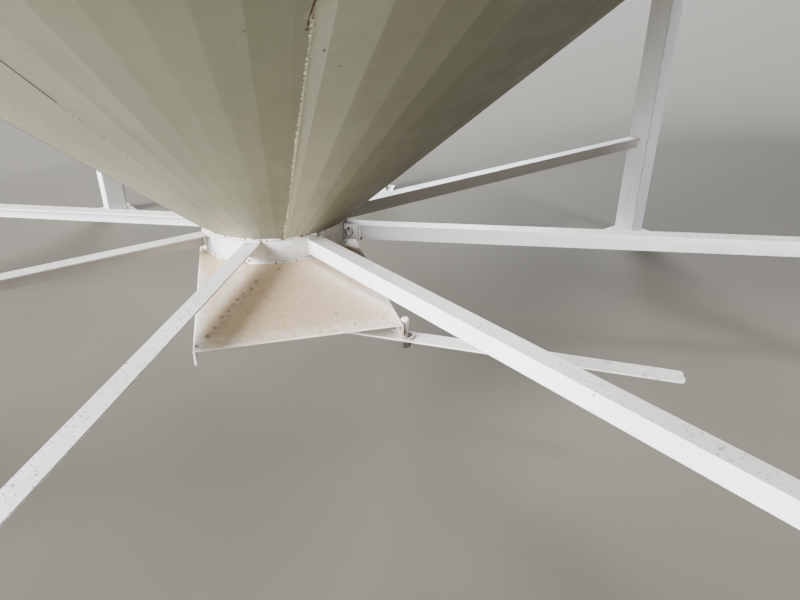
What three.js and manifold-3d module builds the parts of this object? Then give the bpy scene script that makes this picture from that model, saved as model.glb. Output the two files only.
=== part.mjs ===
// Hopper base of a farm grain silo: a cone of bent steel sheets inside a rim ring on eight legs,
// held at its outlet collar by eight radial angle struts and closed by a lever-operated slide gate.
// Millimetres, +Z up. The origin is on the ground under the cone's axis, and the gate opens
// towards -Y. Azimuths run counterclockwise from +X, seen from above.
import * as THREE from 'three';
import { mergeVertices } from 'three/addons/utils/BufferGeometryUtils.js';
import Module from 'manifold-3d';

const wasm = await Module();
wasm.setup();

// Shared: the clearance between touching pieces, and the gate's height over the ground
const gap = 0.3;
const plateTop = 475;

// Outlet collar
const collarRadius = 250;
const collarWall = 5;
const collarHeight = 80;
const collarSides = 64;
const collarTop = plateTop + collarHeight;

// Cone sheets, each bent along lines that run up the cone
const coneSlope = THREE.MathUtils.degToRad(40);
const sheetThickness = 4;
const sheetCount = 11;
const sheetSpan = 360 / sheetCount;
const seamGap = 0.5;
const frontSeamAzimuth = 271.9;
// The sheets were bent in two ways, which alternate: degrees from the seam to the first bend,
// then from bend to bend.
const bendPatterns = [
  { first: 5.4, pitch: 4.31, bends: 7 },
  { first: 2.0, pitch: 5.07, bends: 6 },
];

// Rim ring, a rolled angle with its flange outwards
const rimInner = 2126;
const rimWall = 8;
const rimHeight = 100;
const rimOuter = 2250;
const rimRise = 40;
const rimQuarters = ['back_right', 'back_left', 'front_left', 'front_right'];
const rimStepsPerQuarter = 32;
const coneTopRadius = rimInner * Math.cos(Math.PI / (4 * rimStepsPerQuarter)) - 0.6;
const coneFootRadius = collarRadius + 0.4;
const coneFoot = collarTop + gap;
const coneTop = coneFoot + (coneTopRadius - coneFootRadius) * Math.tan(coneSlope);
const rimTop = coneTop + rimRise;

// Legs, each a box section on a foot plate
const legCount = 8;
const firstLegAzimuth = 22.7;
const legInner = 2145;
const legWidth = 118;
const legDepth = 102;
const legTop = rimTop - rimWall - gap;
const footSize = 200;
const footThickness = 12;

// Struts, equal angles with the flange on top and the leg on the right, looking outwards. They
// rise a little from the collar to the legs.
const strutSize = 50;
const strutWall = 5;
const strutTop = plateTop + 65;
const strutRise = 12;
const strutStart = collarRadius + gap;
const strutEndGap = 0.8;
const strutLength = legInner - strutEndGap - strutStart;

// Legs and struts were set up by hand: how far each is turned from its even place, in degrees,
// how far each strut's outer face lies to the right of the axis, and how far its inner end was lifted
const legTurns = [-0.5, 0, 1.2, 0.8, -0.1, 0.1, 0.9, 0.1];
const strutTurns = [0.2, 0, 1.2, 0.8, -0.1, 0.1, 0.9, 0.1];
const strutOffsets = [33, 29, 29, 26, 32, 18.5, 17, 33];
const strutLifts = [0, 0, 0, 0, 0, 7.5, 0, 0];

// The last strut is cut back for a drilled lug beside the collar, which stands a little over its flange
const lugStrut = 8;
const notchEnd = 307;
const lugStart = collarRadius;
const lugEnd = 300;
const lugFoot = plateTop + 14;
const lugTop = strutTop + 5;
const lugThickness = 6;
const lugHoleRadius = 12;
const lugHoleDistance = 267;
const lugHoleHeight = plateTop + 41;

// Gate housing, one plate with its sides and back bent down
const housingHalfWidth = 264;
const housingFront = -746;
const housingBack = 264;
const plateThickness = 5;
const flangeFoot = plateTop - 42;
const outletRadius = collarRadius - collarWall;

// Slide plate on two rails, with a slotted bracket under its front
const slideThickness = 6;
const slideTop = plateTop - 10.5;
const slideHalfWidth = 253;
const slideBack = 253;
const railWidth = 20;
const railThickness = 6;
const railSetback = 90;
const runningGap = 0.5;
const slideFoot = slideTop - slideThickness;
const railTop = slideFoot - runningGap;

// Lever, a flat bar that turns on a pin welded to the right-hand flange
const pinRadius = 11;
const pinFoot = plateTop - 84;
const pinTop = plateTop + 3;
const pivot = new THREE.Vector2(housingHalfWidth + gap + pinRadius, -720);
const leverAzimuth = -31.4;
const leverTop = plateTop - 54;
const leverThickness = 6;
const leverHalfWidth = 25.4;
// The pin's hole lies this far off the bar's centre line
const leverOffset = 8;
const handleLength = 702;
// The handle's torch-cut end: how far across the bar, and how far short of the full length
const tornEnd = [[0, 14], [5, 2], [17, 0], [33, 5], [42, 2], [50.8, 7]];
const innerArm = 510;
const studArm = 475;
const studRadius = 8;
const studTop = slideFoot - 5.5;
const pivotHoleRadius = 12;
const washerRadius = 25;
const washerHoleRadius = 16.5;
const washerShift = [1.5, 4.5];
const washerThickness = 4;
const nutAcrossFlats = 30;
const nutHeight = 20;
const nutGap = 0.6;

// Slotted bracket: the stud crosses it as the lever turns
const bracketFoot = leverTop + 7.2;
const bracketWall = 6;
const slotHalfWidth = 15;
const studEndClearance = 3;

const paint = { roughness: 0.5, metalness: 0.0, flatShading: true };
const materials = {
  cone: new THREE.MeshStandardMaterial({ color: 0xc9c5b4, ...paint }),
  frame: new THREE.MeshStandardMaterial({ color: 0xdedad0, ...paint }),
  gate: new THREE.MeshStandardMaterial({ color: 0xd2c8b8, ...paint }),
  steel: new THREE.MeshStandardMaterial({ color: 0x8b8a86, roughness: 0.55, metalness: 0.8 }),
};

const hopper = new THREE.Group();

function addPiece(name, geometry, material, parent = hopper) {
  const mesh = new THREE.Mesh(geometry, material);
  mesh.name = name;
  parent.add(mesh);
  return mesh;
}

/** A point at a radius, azimuth in degrees and height, moved sideways along the azimuth's tangent. */
function polar(radius, azimuth, height, sideways = 0) {
  const angle = THREE.MathUtils.degToRad(azimuth);
  const x = radius * Math.cos(angle) - sideways * Math.sin(angle);
  const y = radius * Math.sin(angle) + sideways * Math.cos(angle);
  return new THREE.Vector3(x, y, height);
}

/**
 * A closed solid swept clockwise around the axis. The outline is counterclockwise in radius and
 * height, and each station places its points in space.
 */
function sweepClockwise(outline, stations) {
  const count = outline.length;
  const positions = stations.flatMap((place) => outline.flatMap((point) => place(point).toArray()));
  const indices = [];
  for (let station = 0; station < stations.length - 1; station += 1) {
    for (let corner = 0; corner < count; corner += 1) {
      const a = station * count + corner;
      const b = station * count + ((corner + 1) % count);
      indices.push(a, b, b + count, a, b + count, a + count);
    }
  }
  const last = (stations.length - 1) * count;
  for (const [a, b, c] of THREE.ShapeUtils.triangulateShape(outline, [])) {
    indices.push(a, c, b);
    indices.push(last + a, last + b, last + c);
  }
  const geometry = new THREE.BufferGeometry();
  geometry.setAttribute('position', new THREE.Float32BufferAttribute(positions, 3));
  geometry.setIndex(indices);
  geometry.computeVertexNormals();
  return geometry;
}

/** A box between two opposite corners. */
function block(low, high) {
  const size = high.map((value, axis) => value - low[axis]);
  const centre = high.map((value, axis) => (value + low[axis]) / 2);
  return new THREE.BoxGeometry(...size).translate(...centre);
}

/** An upright solid with a flat outline, between two heights. */
function upright(shape, foot, top, curveSegments = 24) {
  const settings = { depth: top - foot, bevelEnabled: false, curveSegments };
  return new THREE.ExtrudeGeometry(shape, settings).translate(0, 0, foot);
}

function circle(radius, x = 0, y = 0) {
  return new THREE.Path().absarc(x, y, radius, 0, 2 * Math.PI);
}

function toManifold(geometry) {
  const bare = geometry.clone();
  bare.deleteAttribute('normal');
  bare.deleteAttribute('uv');
  const merged = mergeVertices(bare);
  return new wasm.Manifold(new wasm.Mesh({
    numProp: 3,
    vertProperties: Float32Array.from(merged.getAttribute('position').array),
    triVerts: Uint32Array.from(merged.index.array),
  }));
}

function fromManifold(solid) {
  const mesh = solid.getMesh();
  const geometry = new THREE.BufferGeometry();
  geometry.setAttribute('position', new THREE.BufferAttribute(mesh.vertProperties, 3));
  geometry.setIndex(new THREE.BufferAttribute(mesh.triVerts, 1));
  geometry.computeVertexNormals();
  return geometry;
}

function join(first, ...others) {
  return fromManifold(others.reduce((solid, other) => solid.add(toManifold(other)), toManifold(first)));
}

function cut(first, ...others) {
  return fromManifold(others.reduce((solid, other) => solid.subtract(toManifold(other)), toManifold(first)));
}

/** The azimuths of one sheet's edges and bends, from its first seam. */
function sheetAzimuths(start, pattern) {
  const bends = Array.from({ length: pattern.bends }, (_, i) => start + pattern.first + i * pattern.pitch);
  return [start, ...bends, start + sheetSpan];
}

function addConeSheets() {
  const inward = sheetThickness * Math.sin(coneSlope);
  const upward = sheetThickness * Math.cos(coneSlope);
  const outline = [
    new THREE.Vector2(coneFootRadius, coneFoot),
    new THREE.Vector2(coneTopRadius, coneTop),
    new THREE.Vector2(coneTopRadius - inward, coneTop + upward),
    new THREE.Vector2(coneFootRadius - inward, coneFoot + upward),
  ];
  for (let sheet = 0; sheet < sheetCount; sheet += 1) {
    const start = frontSeamAzimuth + (sheet - 1) * sheetSpan;
    const azimuths = sheetAzimuths(start, bendPatterns[sheet % bendPatterns.length]).reverse();
    const stations = azimuths.map((azimuth, index) => {
      const atEdge = index === 0 ? -1 : Number(index === azimuths.length - 1);
      return (point) => polar(point.x, azimuth, point.y, (atEdge * seamGap) / 2);
    });
    addPiece(`cone_sheet_${sheet + 1}`, sweepClockwise(outline, stations), materials.cone);
  }
}

function addRim() {
  const outline = [
    new THREE.Vector2(rimInner, rimTop - rimHeight),
    new THREE.Vector2(rimInner + rimWall, rimTop - rimHeight),
    new THREE.Vector2(rimInner + rimWall, rimTop - rimWall),
    new THREE.Vector2(rimOuter, rimTop - rimWall),
    new THREE.Vector2(rimOuter, rimTop),
    new THREE.Vector2(rimInner, rimTop),
  ];
  rimQuarters.forEach((quarter, index) => {
    const stations = Array.from({ length: rimStepsPerQuarter + 1 }, (_, step) => {
      const azimuth = 90 * (index + 1 - step / rimStepsPerQuarter);
      const atEdge = step === 0 ? -1 : Number(step === rimStepsPerQuarter);
      return (point) => polar(point.x, azimuth, point.y, (atEdge * seamGap) / 2);
    });
    addPiece(`rim_ring_${quarter}`, sweepClockwise(outline, stations), materials.frame);
  });
}

/** A group turned so that its +X points outwards at one leg or strut. */
function radialGroup(index, turn) {
  const group = new THREE.Group();
  group.rotation.z = THREE.MathUtils.degToRad(firstLegAzimuth + (index * 360) / legCount + turn);
  hopper.add(group);
  return group;
}

function legGeometry() {
  const middle = legInner + legDepth / 2;
  const post = block([legInner, -legWidth / 2, 0], [legInner + legDepth, legWidth / 2, legTop]);
  const foot = block([middle - footSize / 2, -footSize / 2, 0], [middle + footSize / 2, footSize / 2, footThickness]);
  return join(post, foot);
}

/** An angle along +X from its inner end, with its top outer edge on the X axis. */
function strutGeometry() {
  const shape = new THREE.Shape([
    new THREE.Vector2(0, -strutSize),
    new THREE.Vector2(strutWall, -strutSize),
    new THREE.Vector2(strutWall, -strutWall),
    new THREE.Vector2(strutSize, -strutWall),
    new THREE.Vector2(strutSize, 0),
    new THREE.Vector2(0, 0),
  ]);
  const leftUpAndOut = new THREE.Matrix4().makeBasis(
    new THREE.Vector3(0, 1, 0),
    new THREE.Vector3(0, 0, 1),
    new THREE.Vector3(1, 0, 0),
  );
  return new THREE.ExtrudeGeometry(shape, { depth: strutLength, bevelEnabled: false }).applyMatrix4(leftUpAndOut);
}

function notchedStrutGeometry() {
  const underFlange = block([-1, -1, -strutSize - 1], [notchEnd - strutStart, strutWall, -strutWall]);
  const besideLug = block([-1, -1, -strutSize - 1], [lugEnd + gap - strutStart, lugThickness + gap, 1]);
  return cut(strutGeometry(), underFlange, besideLug);
}

/** The drilled lug stands in the line of its strut's hanging leg. */
function lugGeometry(right) {
  const plate = block([lugStart, right, lugFoot], [lugEnd, right + lugThickness, lugTop]);
  const drill = new THREE.CylinderGeometry(lugHoleRadius, lugHoleRadius, 3 * lugThickness, 24);
  drill.translate(lugHoleDistance, right, lugHoleHeight);
  return cut(plate, drill);
}

function addFrame() {
  for (let index = 0; index < legCount; index += 1) {
    const number = index + 1;
    addPiece(`leg_${number}`, legGeometry(), materials.frame, radialGroup(index, legTurns[index]));
    const group = radialGroup(index, strutTurns[index]);
    const geometry = number === lugStrut ? notchedStrutGeometry() : strutGeometry();
    const strut = addPiece(`strut_${number}`, geometry, materials.frame, group);
    strut.position.set(strutStart, -strutOffsets[index], strutTop + strutLifts[index]);
    strut.rotation.y = -Math.asin((strutRise - strutLifts[index]) / strutLength);
    if (number === lugStrut) {
      addPiece('collar_lug', lugGeometry(-strutOffsets[index]), materials.frame, group);
    }
  }
}

function addCollar() {
  const ring = new THREE.Shape().absarc(0, 0, collarRadius, 0, 2 * Math.PI);
  ring.holes.push(circle(outletRadius));
  addPiece('outlet_collar', upright(ring, plateTop + gap, collarTop, collarSides / 2), materials.frame);
}

function addHousing() {
  const inner = housingHalfWidth - plateThickness;
  const top = block([-housingHalfWidth, housingFront, plateTop - plateThickness], [housingHalfWidth, housingBack, plateTop]);
  const left = block([-housingHalfWidth, housingFront, flangeFoot], [-inner, housingBack, plateTop]);
  const right = block([inner, housingFront, flangeFoot], [housingHalfWidth, housingBack, plateTop]);
  const back = block([-housingHalfWidth, housingBack - plateThickness, flangeFoot], [housingHalfWidth, housingBack, plateTop]);
  const outlet = upright(new THREE.Shape().absarc(0, 0, outletRadius, 0, 2 * Math.PI), 0, collarTop, collarSides / 2);
  addPiece('gate_housing', cut(join(top, left, right, back), outlet), materials.gate);
  const railOutside = inner - gap;
  const railBack = housingBack - plateThickness - gap;
  for (const [side, sign] of [['left', -1], ['right', 1]]) {
    const x = [sign * railOutside, sign * (railOutside - railWidth)].sort((a, b) => a - b);
    const rail = block([x[0], housingFront + railSetback, railTop - railThickness], [x[1], railBack, railTop]);
    addPiece(`slide_rail_${side}`, rail, materials.gate);
  }
}

/** The stud's place at rest, and how far it reaches sideways as the lever turns through its range. */
function studTravel() {
  const angle = THREE.MathUtils.degToRad(-leverAzimuth);
  return {
    near: pivot.x - studArm * Math.cos(angle),
    far: pivot.x - studArm,
    y: pivot.y + studArm * Math.sin(angle),
  };
}

function rectangle(ShapeClass, x0, x1, y0, y1) {
  return new ShapeClass([
    new THREE.Vector2(x0, y0),
    new THREE.Vector2(x1, y0),
    new THREE.Vector2(x1, y1),
    new THREE.Vector2(x0, y1),
  ]);
}

function addSlide() {
  const stud = studTravel();
  const reach = studRadius + studEndClearance;
  const slot = [stud.far - reach, stud.near + reach, stud.y - slotHalfWidth, stud.y + slotHalfWidth];
  const grown = slot.map((value, index) => value + (index % 2 === 0 ? -bracketWall : bracketWall));
  const bracket = rectangle(THREE.Shape, ...grown);
  bracket.holes.push(rectangle(THREE.Path, ...slot));
  addPiece('slot_bracket', upright(bracket, bracketFoot, slideFoot - gap), materials.gate);
  const slideFront = grown[2] - bracketWall;
  const plate = block([-slideHalfWidth, slideFront, slideFoot], [slideHalfWidth, slideBack, slideTop]);
  addPiece('slide_plate', plate, materials.gate);
}

/** The bar's outline, with the pivot hole at its origin. */
function leverShape() {
  const nearEdge = leverOffset - leverHalfWidth;
  const shape = new THREE.Shape([
    new THREE.Vector2(-innerArm, nearEdge),
    ...tornEnd.map(([across, short]) => new THREE.Vector2(handleLength - short, nearEdge + across)),
    new THREE.Vector2(-innerArm, leverOffset + leverHalfWidth),
  ]);
  shape.holes.push(circle(pivotHoleRadius));
  return shape;
}

function addLever() {
  const lever = new THREE.Group();
  lever.position.set(pivot.x, pivot.y, 0);
  lever.rotation.z = THREE.MathUtils.degToRad(leverAzimuth);
  hopper.add(lever);
  addPiece('lever', upright(leverShape(), leverTop - leverThickness, leverTop, 12), materials.frame, lever);
  const stud = new THREE.Shape().absarc(-studArm, 0, studRadius, 0, 2 * Math.PI);
  addPiece('lever_stud', upright(stud, leverTop + gap, studTop, 12), materials.steel, lever);
  const washer = new THREE.Shape().absarc(...washerShift, washerRadius, 0, 2 * Math.PI);
  washer.holes.push(circle(washerHoleRadius, ...washerShift));
  const washerFoot = leverTop + gap;
  addPiece('pivot_washer', upright(washer, washerFoot, washerFoot + washerThickness, 16), materials.frame, lever);
}

function addPivot() {
  const pin = new THREE.Shape().absarc(pivot.x, pivot.y, pinRadius, 0, 2 * Math.PI);
  addPiece('pivot_pin', upright(pin, pinFoot, pinTop, 12), materials.steel);
  const corner = nutAcrossFlats / 2 / Math.cos(Math.PI / 6);
  const corners = Array.from({ length: 6 }, (_, i) => {
    const angle = (i * Math.PI) / 3;
    return new THREE.Vector2(pivot.x + corner * Math.cos(angle), pivot.y + corner * Math.sin(angle));
  });
  const nut = new THREE.Shape(corners);
  nut.holes.push(circle(pinRadius + gap, pivot.x, pivot.y));
  const nutTop = leverTop - leverThickness - nutGap;
  addPiece('pivot_nut', upright(nut, nutTop - nutHeight, nutTop, 12), materials.steel);
}

addConeSheets();
addRim();
addFrame();
addCollar();
addHousing();
addSlide();
addLever();
addPivot();

export default hopper;
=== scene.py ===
"""Looks of a farm grain silo's hopper base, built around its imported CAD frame.

Metres, +Z up. The origin is on the ground under the cone's axis, and the slide gate opens towards -Y.
Azimuths are in degrees, counterclockwise from +X seen from above.
"""

import logging
import math
from dataclasses import dataclass, field, replace
from enum import Enum
from typing import Callable, Sequence

import bmesh
import bpy
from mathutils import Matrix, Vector


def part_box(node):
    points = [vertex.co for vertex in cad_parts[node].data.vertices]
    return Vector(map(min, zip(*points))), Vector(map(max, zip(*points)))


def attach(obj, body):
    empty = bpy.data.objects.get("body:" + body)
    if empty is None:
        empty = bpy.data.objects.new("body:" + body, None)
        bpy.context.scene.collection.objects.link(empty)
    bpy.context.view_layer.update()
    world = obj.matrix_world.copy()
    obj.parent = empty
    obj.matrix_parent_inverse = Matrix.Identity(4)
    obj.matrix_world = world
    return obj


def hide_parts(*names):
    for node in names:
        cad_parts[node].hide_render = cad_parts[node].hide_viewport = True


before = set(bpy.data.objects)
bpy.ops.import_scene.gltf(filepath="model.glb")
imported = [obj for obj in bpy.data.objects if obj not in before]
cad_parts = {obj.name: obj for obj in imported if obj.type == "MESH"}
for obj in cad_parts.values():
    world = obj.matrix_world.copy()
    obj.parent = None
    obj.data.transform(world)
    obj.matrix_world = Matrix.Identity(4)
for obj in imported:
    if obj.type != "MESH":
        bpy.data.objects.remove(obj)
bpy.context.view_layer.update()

LOG = logging.getLogger("hopper_base")
SAME_POINT = 1e-5
FLAT_ANGLE = math.radians(0.4)
WHOLE_FACE_SIDES = 4
SHARP_ANGLE = math.radians(38)
UPRIGHT_SHARE = 0.99
WELD_ROOT = 0.0015
PLATE_TOP = 0.475
MUD = "#4E4335"
RUST_DARK = "#3E2A1C"
SCORCHED = "#B39A88"
# Near black: painted shade with some dirt.
DARK_SHADE_AND_DIRT = "#1F1814"
# Tone colours for the cone's strips: a faint olive tone with painted shade, painted shade of the facets, and
# bleached paint with painted light.
FAINT_TONE_AND_SHADE = "#5F6146"
FACET_SHADE = "#48442F"
BLEACH_AND_PAINTED_LIGHT = "#C4C2AA"

Socket = bpy.types.NodeSocket
Point = tuple[float, float, float]
Span = tuple[float, float]
Lines = Sequence[Sequence[Vector]]


class Body(Enum):
    """The CAD bodies that pieces ride on."""

    BASE = "base"
    GATE = "slide_gate"
    LEVER = "lever_arm"


class Slot(Enum):
    """The material slots of the pieces' finishes."""

    CONE = "cone_paint"
    FRAME = "frame_paint"
    GATE = "gate_paint"
    STEEL = "bare_steel"


class Runs(Enum):
    """Which way rain has drawn its streaks over a surface."""

    DOWN_WALL = "down a wall"
    DOWN_CONE = "down the cone"


def linear(hex_colour: str) -> tuple[float, float, float, float]:
    """Turns an sRGB colour such as #C8C2B0 into the linear colour that shaders mix.

    Args:
        hex_colour: Six hex digits after a hash.

    Returns:
        Linear red, green and blue, and an alpha of 1.
    """
    channels = [int(hex_colour[i:i + 2], 16) / 255 for i in (1, 3, 5)]
    red, green, blue = ((c / 12.92) if c <= 0.04045 else ((c + 0.055) / 1.055) ** 2.4 for c in channels)
    return red, green, blue, 1.0


def polar(radius: float, azimuth: float, height: float, sideways: float = 0.0) -> Vector:
    """A point at a radius, azimuth and height, moved sideways along the azimuth's tangent.

    Args:
        radius: Distance from the cone's axis.
        azimuth: In degrees.
        height: Height over the ground.
        sideways: Counterclockwise shift along the tangent.

    Returns:
        The point.
    """
    angle = math.radians(azimuth)
    outwards = Vector((math.cos(angle), math.sin(angle), 0))
    tangent = Vector((-math.sin(angle), math.cos(angle), 0))
    return outwards * radius + tangent * sideways + Vector((0, 0, height))


class NodeTree:
    """A shader or geometry tree while it is being built."""

    def __init__(self, tree: bpy.types.NodeTree) -> None:
        """Takes over an empty tree."""
        self.tree = tree

    def add(self, kind: str, inputs: dict | None = None, **settings: object) -> bpy.types.bpy_prop_collection:
        """Adds one node, with its settings, values and links.

        Args:
            kind: The node's type name.
            inputs: A value, or the output socket to link from, for each input's name or number.
            settings: Properties of the node itself.

        Returns:
            The new node's outputs.
        """
        node = self.tree.nodes.new(kind)
        for name, value in settings.items():
            setattr(node, name, value)
        for key, value in (inputs or {}).items():
            if isinstance(value, Socket):
                self.tree.links.new(value, node.inputs[key])
            else:
                node.inputs[key].default_value = value
        return node.outputs


class Coat(NodeTree):
    """A material's tree, in which each layer of colour covers the one below."""

    def __init__(self, name: str, base: str) -> None:
        """Starts with one even colour.

        Args:
            name: The material's name.
            base: Its sRGB colour.
        """
        self.material = bpy.data.materials.new(name)
        self.material.use_nodes = True
        super().__init__(self.material.node_tree)
        self.tree.nodes.clear()
        self.place = self.add("ShaderNodeTexCoord")["Object"]
        self.colour = self.add("ShaderNodeRGB")[0]
        self.colour.default_value = linear(base)

    def cover(self, hex_colour: str, mask: Socket, *others: Socket | float) -> None:
        """Lays a colour over the coat where every mask is bright.

        Args:
            hex_colour: The layer's sRGB colour.
            mask: Where it lies.
            others: More masks, or an even share, that thin it.
        """
        for other in others:
            mask = self.add("ShaderNodeMath", {0: mask, 1: other}, operation="MULTIPLY")[0]
        sides = {0: mask, 6: self.colour, 7: linear(hex_colour)}
        self.colour = self.add("ShaderNodeMix", sides, data_type="RGBA")[2]

    def patches(
        self, size: float, detail: float, span: Span, amount: Span = (0.0, 1.0),
        where: Socket | None = None, smooth: bool = False,
    ) -> Socket:
        """A mask of uneven patches.

        Args:
            size: The patches' real size.
            detail: How many finer layers the noise has.
            span: The noise's levels where the mask starts and ends its change.
            amount: The mask's values there.
            where: Coordinates that are stretched one way, or none for the piece's own.
            smooth: Whether the patches' edges are soft.

        Returns:
            The mask.
        """
        place = self.place if where is None else where
        noise = self.add("ShaderNodeTexNoise", {"Vector": place, "Scale": 1 / size, "Detail": detail})["Fac"]
        return self.add("ShaderNodeMapRange", {
            "Value": noise, "From Min": span[0], "From Max": span[1],
            "To Min": amount[0], "To Max": amount[1],
        }, interpolation_type="SMOOTHSTEP" if smooth else "LINEAR")["Result"]

    def relief(self, size: float, detail: float, strength: float, depth: float) -> Socket:
        """The normal of an uneven surface.

        Args:
            size: The real size of its bumps.
            detail: How many finer layers the noise has.
            strength: How much of the depth shows.
            depth: The bumps' real depth.

        Returns:
            The normal.
        """
        shape = {"Vector": self.place, "Scale": 1 / size, "Detail": detail}
        height = self.add("ShaderNodeTexNoise", shape)["Fac"]
        return self.add("ShaderNodeBump", {"Strength": strength, "Distance": depth, "Height": height})[0]

    def azimuth(self) -> Socket:
        """How far round the cone's axis a point lies, in radians."""
        split = self.add("ShaderNodeSeparateXYZ", {"Vector": self.place})
        return self.add("ShaderNodeMath", {0: split["Y"], 1: split["X"]}, operation="ARCTAN2")[0]

    def finish(self, inputs: dict[str, object]) -> bpy.types.Material:
        """Closes the tree.

        Args:
            inputs: The shader's inputs, besides its colour.

        Returns:
            The material.
        """
        shader = self.add("ShaderNodeBsdfPrincipled", {"Base Color": self.colour, **inputs})
        self.add("ShaderNodeOutputMaterial", {"Surface": shader["BSDF"]})
        return self.material


@dataclass(frozen=True)
class Finish:
    """One real material, with the base colour that its layers cover."""

    name: str
    base: str

    def material(self) -> bpy.types.Material:
        """Builds the material, or finds the one built before.

        Returns:
            The material.
        """
        made = bpy.data.materials.get(self.name)
        if made:
            return made
        coat = Coat(self.name, self.base)
        return coat.finish(self.lay(coat))

    def lay(self, coat: Coat) -> dict[str, object]:
        """Lays the finish's own layers, and returns the shader's inputs besides its colour."""
        raise NotImplementedError


@dataclass(frozen=True)
class Mark:
    """A spot of dried mud, a rust fleck, a stain, or painted shade with dirt, at one place."""

    place: Point
    radius: float
    colour: str = MUD
    strength: float = 0.8
    core: float = 0.3

    def mask(self, coat: Coat, stretch: Point, ragged: Socket) -> Socket:
        """The mark's mask.

        Args:
            coat: The coat that it lies on.
            stretch: How much farther each axis counts, for marks that are longer one way.
            ragged: An uneven shift of its edge, as a share of the radius.

        Returns:
            The mask.
        """
        apart = coat.add("ShaderNodeVectorMath", {0: coat.place, 1: self.place}, operation="SUBTRACT")[0]
        scaled = coat.add("ShaderNodeVectorMath", {0: apart, 1: stretch}, operation="MULTIPLY")[0]
        gap = coat.add("ShaderNodeVectorMath", {0: scaled}, operation="LENGTH")["Value"]
        scale = 1 / self.radius
        share = coat.add("ShaderNodeMath", {0: gap, 1: scale, 2: ragged}, operation="MULTIPLY_ADD")[0]
        return coat.add("ShaderNodeMapRange", {
            "Value": share, "From Min": self.core, "From Max": 1.0, "To Min": self.strength, "To Max": 0.0,
        })["Result"]


@dataclass(frozen=True)
class Band:
    """A band on the gate plate along a line: drip dirt under a strut, partly a painted shadow, clean paint
    beside a strut, or a lighter strip along an edge.
    """

    start: Span
    end: Span
    half_width: float
    colour: str
    strength: float
    fade_in: float = 0.3

    drop_size = 0.018
    least_share = 0.3

    def masks(self, coat: Coat) -> list[Socket]:
        """The band's masks.

        Args:
            coat: The coat that it lies on.

        Returns:
            How near its line a point lies, how far along it, and how much the drops have left there.
        """
        start = Vector((*self.start, 0))
        run = Vector((*self.end, 0)) - start
        ahead = run.normalized()
        aside = Vector((-ahead.y, ahead.x, 0))
        apart = coat.add("ShaderNodeVectorMath", {0: coat.place, 1: start}, operation="SUBTRACT")[0]
        along = coat.add("ShaderNodeVectorMath", {0: apart, 1: ahead}, operation="DOT_PRODUCT")["Value"]
        across = coat.add("ShaderNodeVectorMath", {0: apart, 1: aside}, operation="DOT_PRODUCT")["Value"]
        off_line = coat.add("ShaderNodeMath", {0: across}, operation="ABSOLUTE")[0]
        near = coat.add("ShaderNodeMapRange", {
            "Value": off_line, "From Max": self.half_width, "To Min": 1.0, "To Max": 0.0,
        }, interpolation_type="SMOOTHSTEP")["Result"]
        within = coat.add("ShaderNodeMapRange", {
            "Value": along, "From Max": self.fade_in * run.length,
        }, interpolation_type="SMOOTHSTEP")["Result"]
        amount = (self.least_share * self.strength, self.strength)
        return [near, within, coat.patches(self.drop_size, 6.0, (0.38, 0.66), amount)]


@dataclass(frozen=True)
class Tone:
    """A strip of the cone between two azimuths in degrees, in another tone: partly weathered paint, partly
    painted shade or light that steps from strip to strip as light falls on the facets.
    """

    azimuths: Span
    colour: str
    strength: float
    fades: Span = (0.05, 0.05)

    def masks(self, coat: Coat) -> list[Socket]:
        """The tone's masks.

        Args:
            coat: The coat that it lies on.

        Returns:
            Where it fades in and where it fades out, round the cone.
        """
        first, last = (math.radians(azimuth - 360) for azimuth in self.azimuths)
        fade_in, fade_out = (math.radians(width) for width in self.fades)
        turn = coat.azimuth()
        comes = coat.add("ShaderNodeMapRange", {
            "Value": turn, "From Min": first - fade_in, "From Max": first, "To Max": self.strength,
        })["Result"]
        goes = coat.add("ShaderNodeMapRange", {
            "Value": turn, "From Min": last, "From Max": last + fade_out, "To Min": 1.0, "To Max": 0.0,
        })["Result"]
        return [comes, goes]


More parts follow.
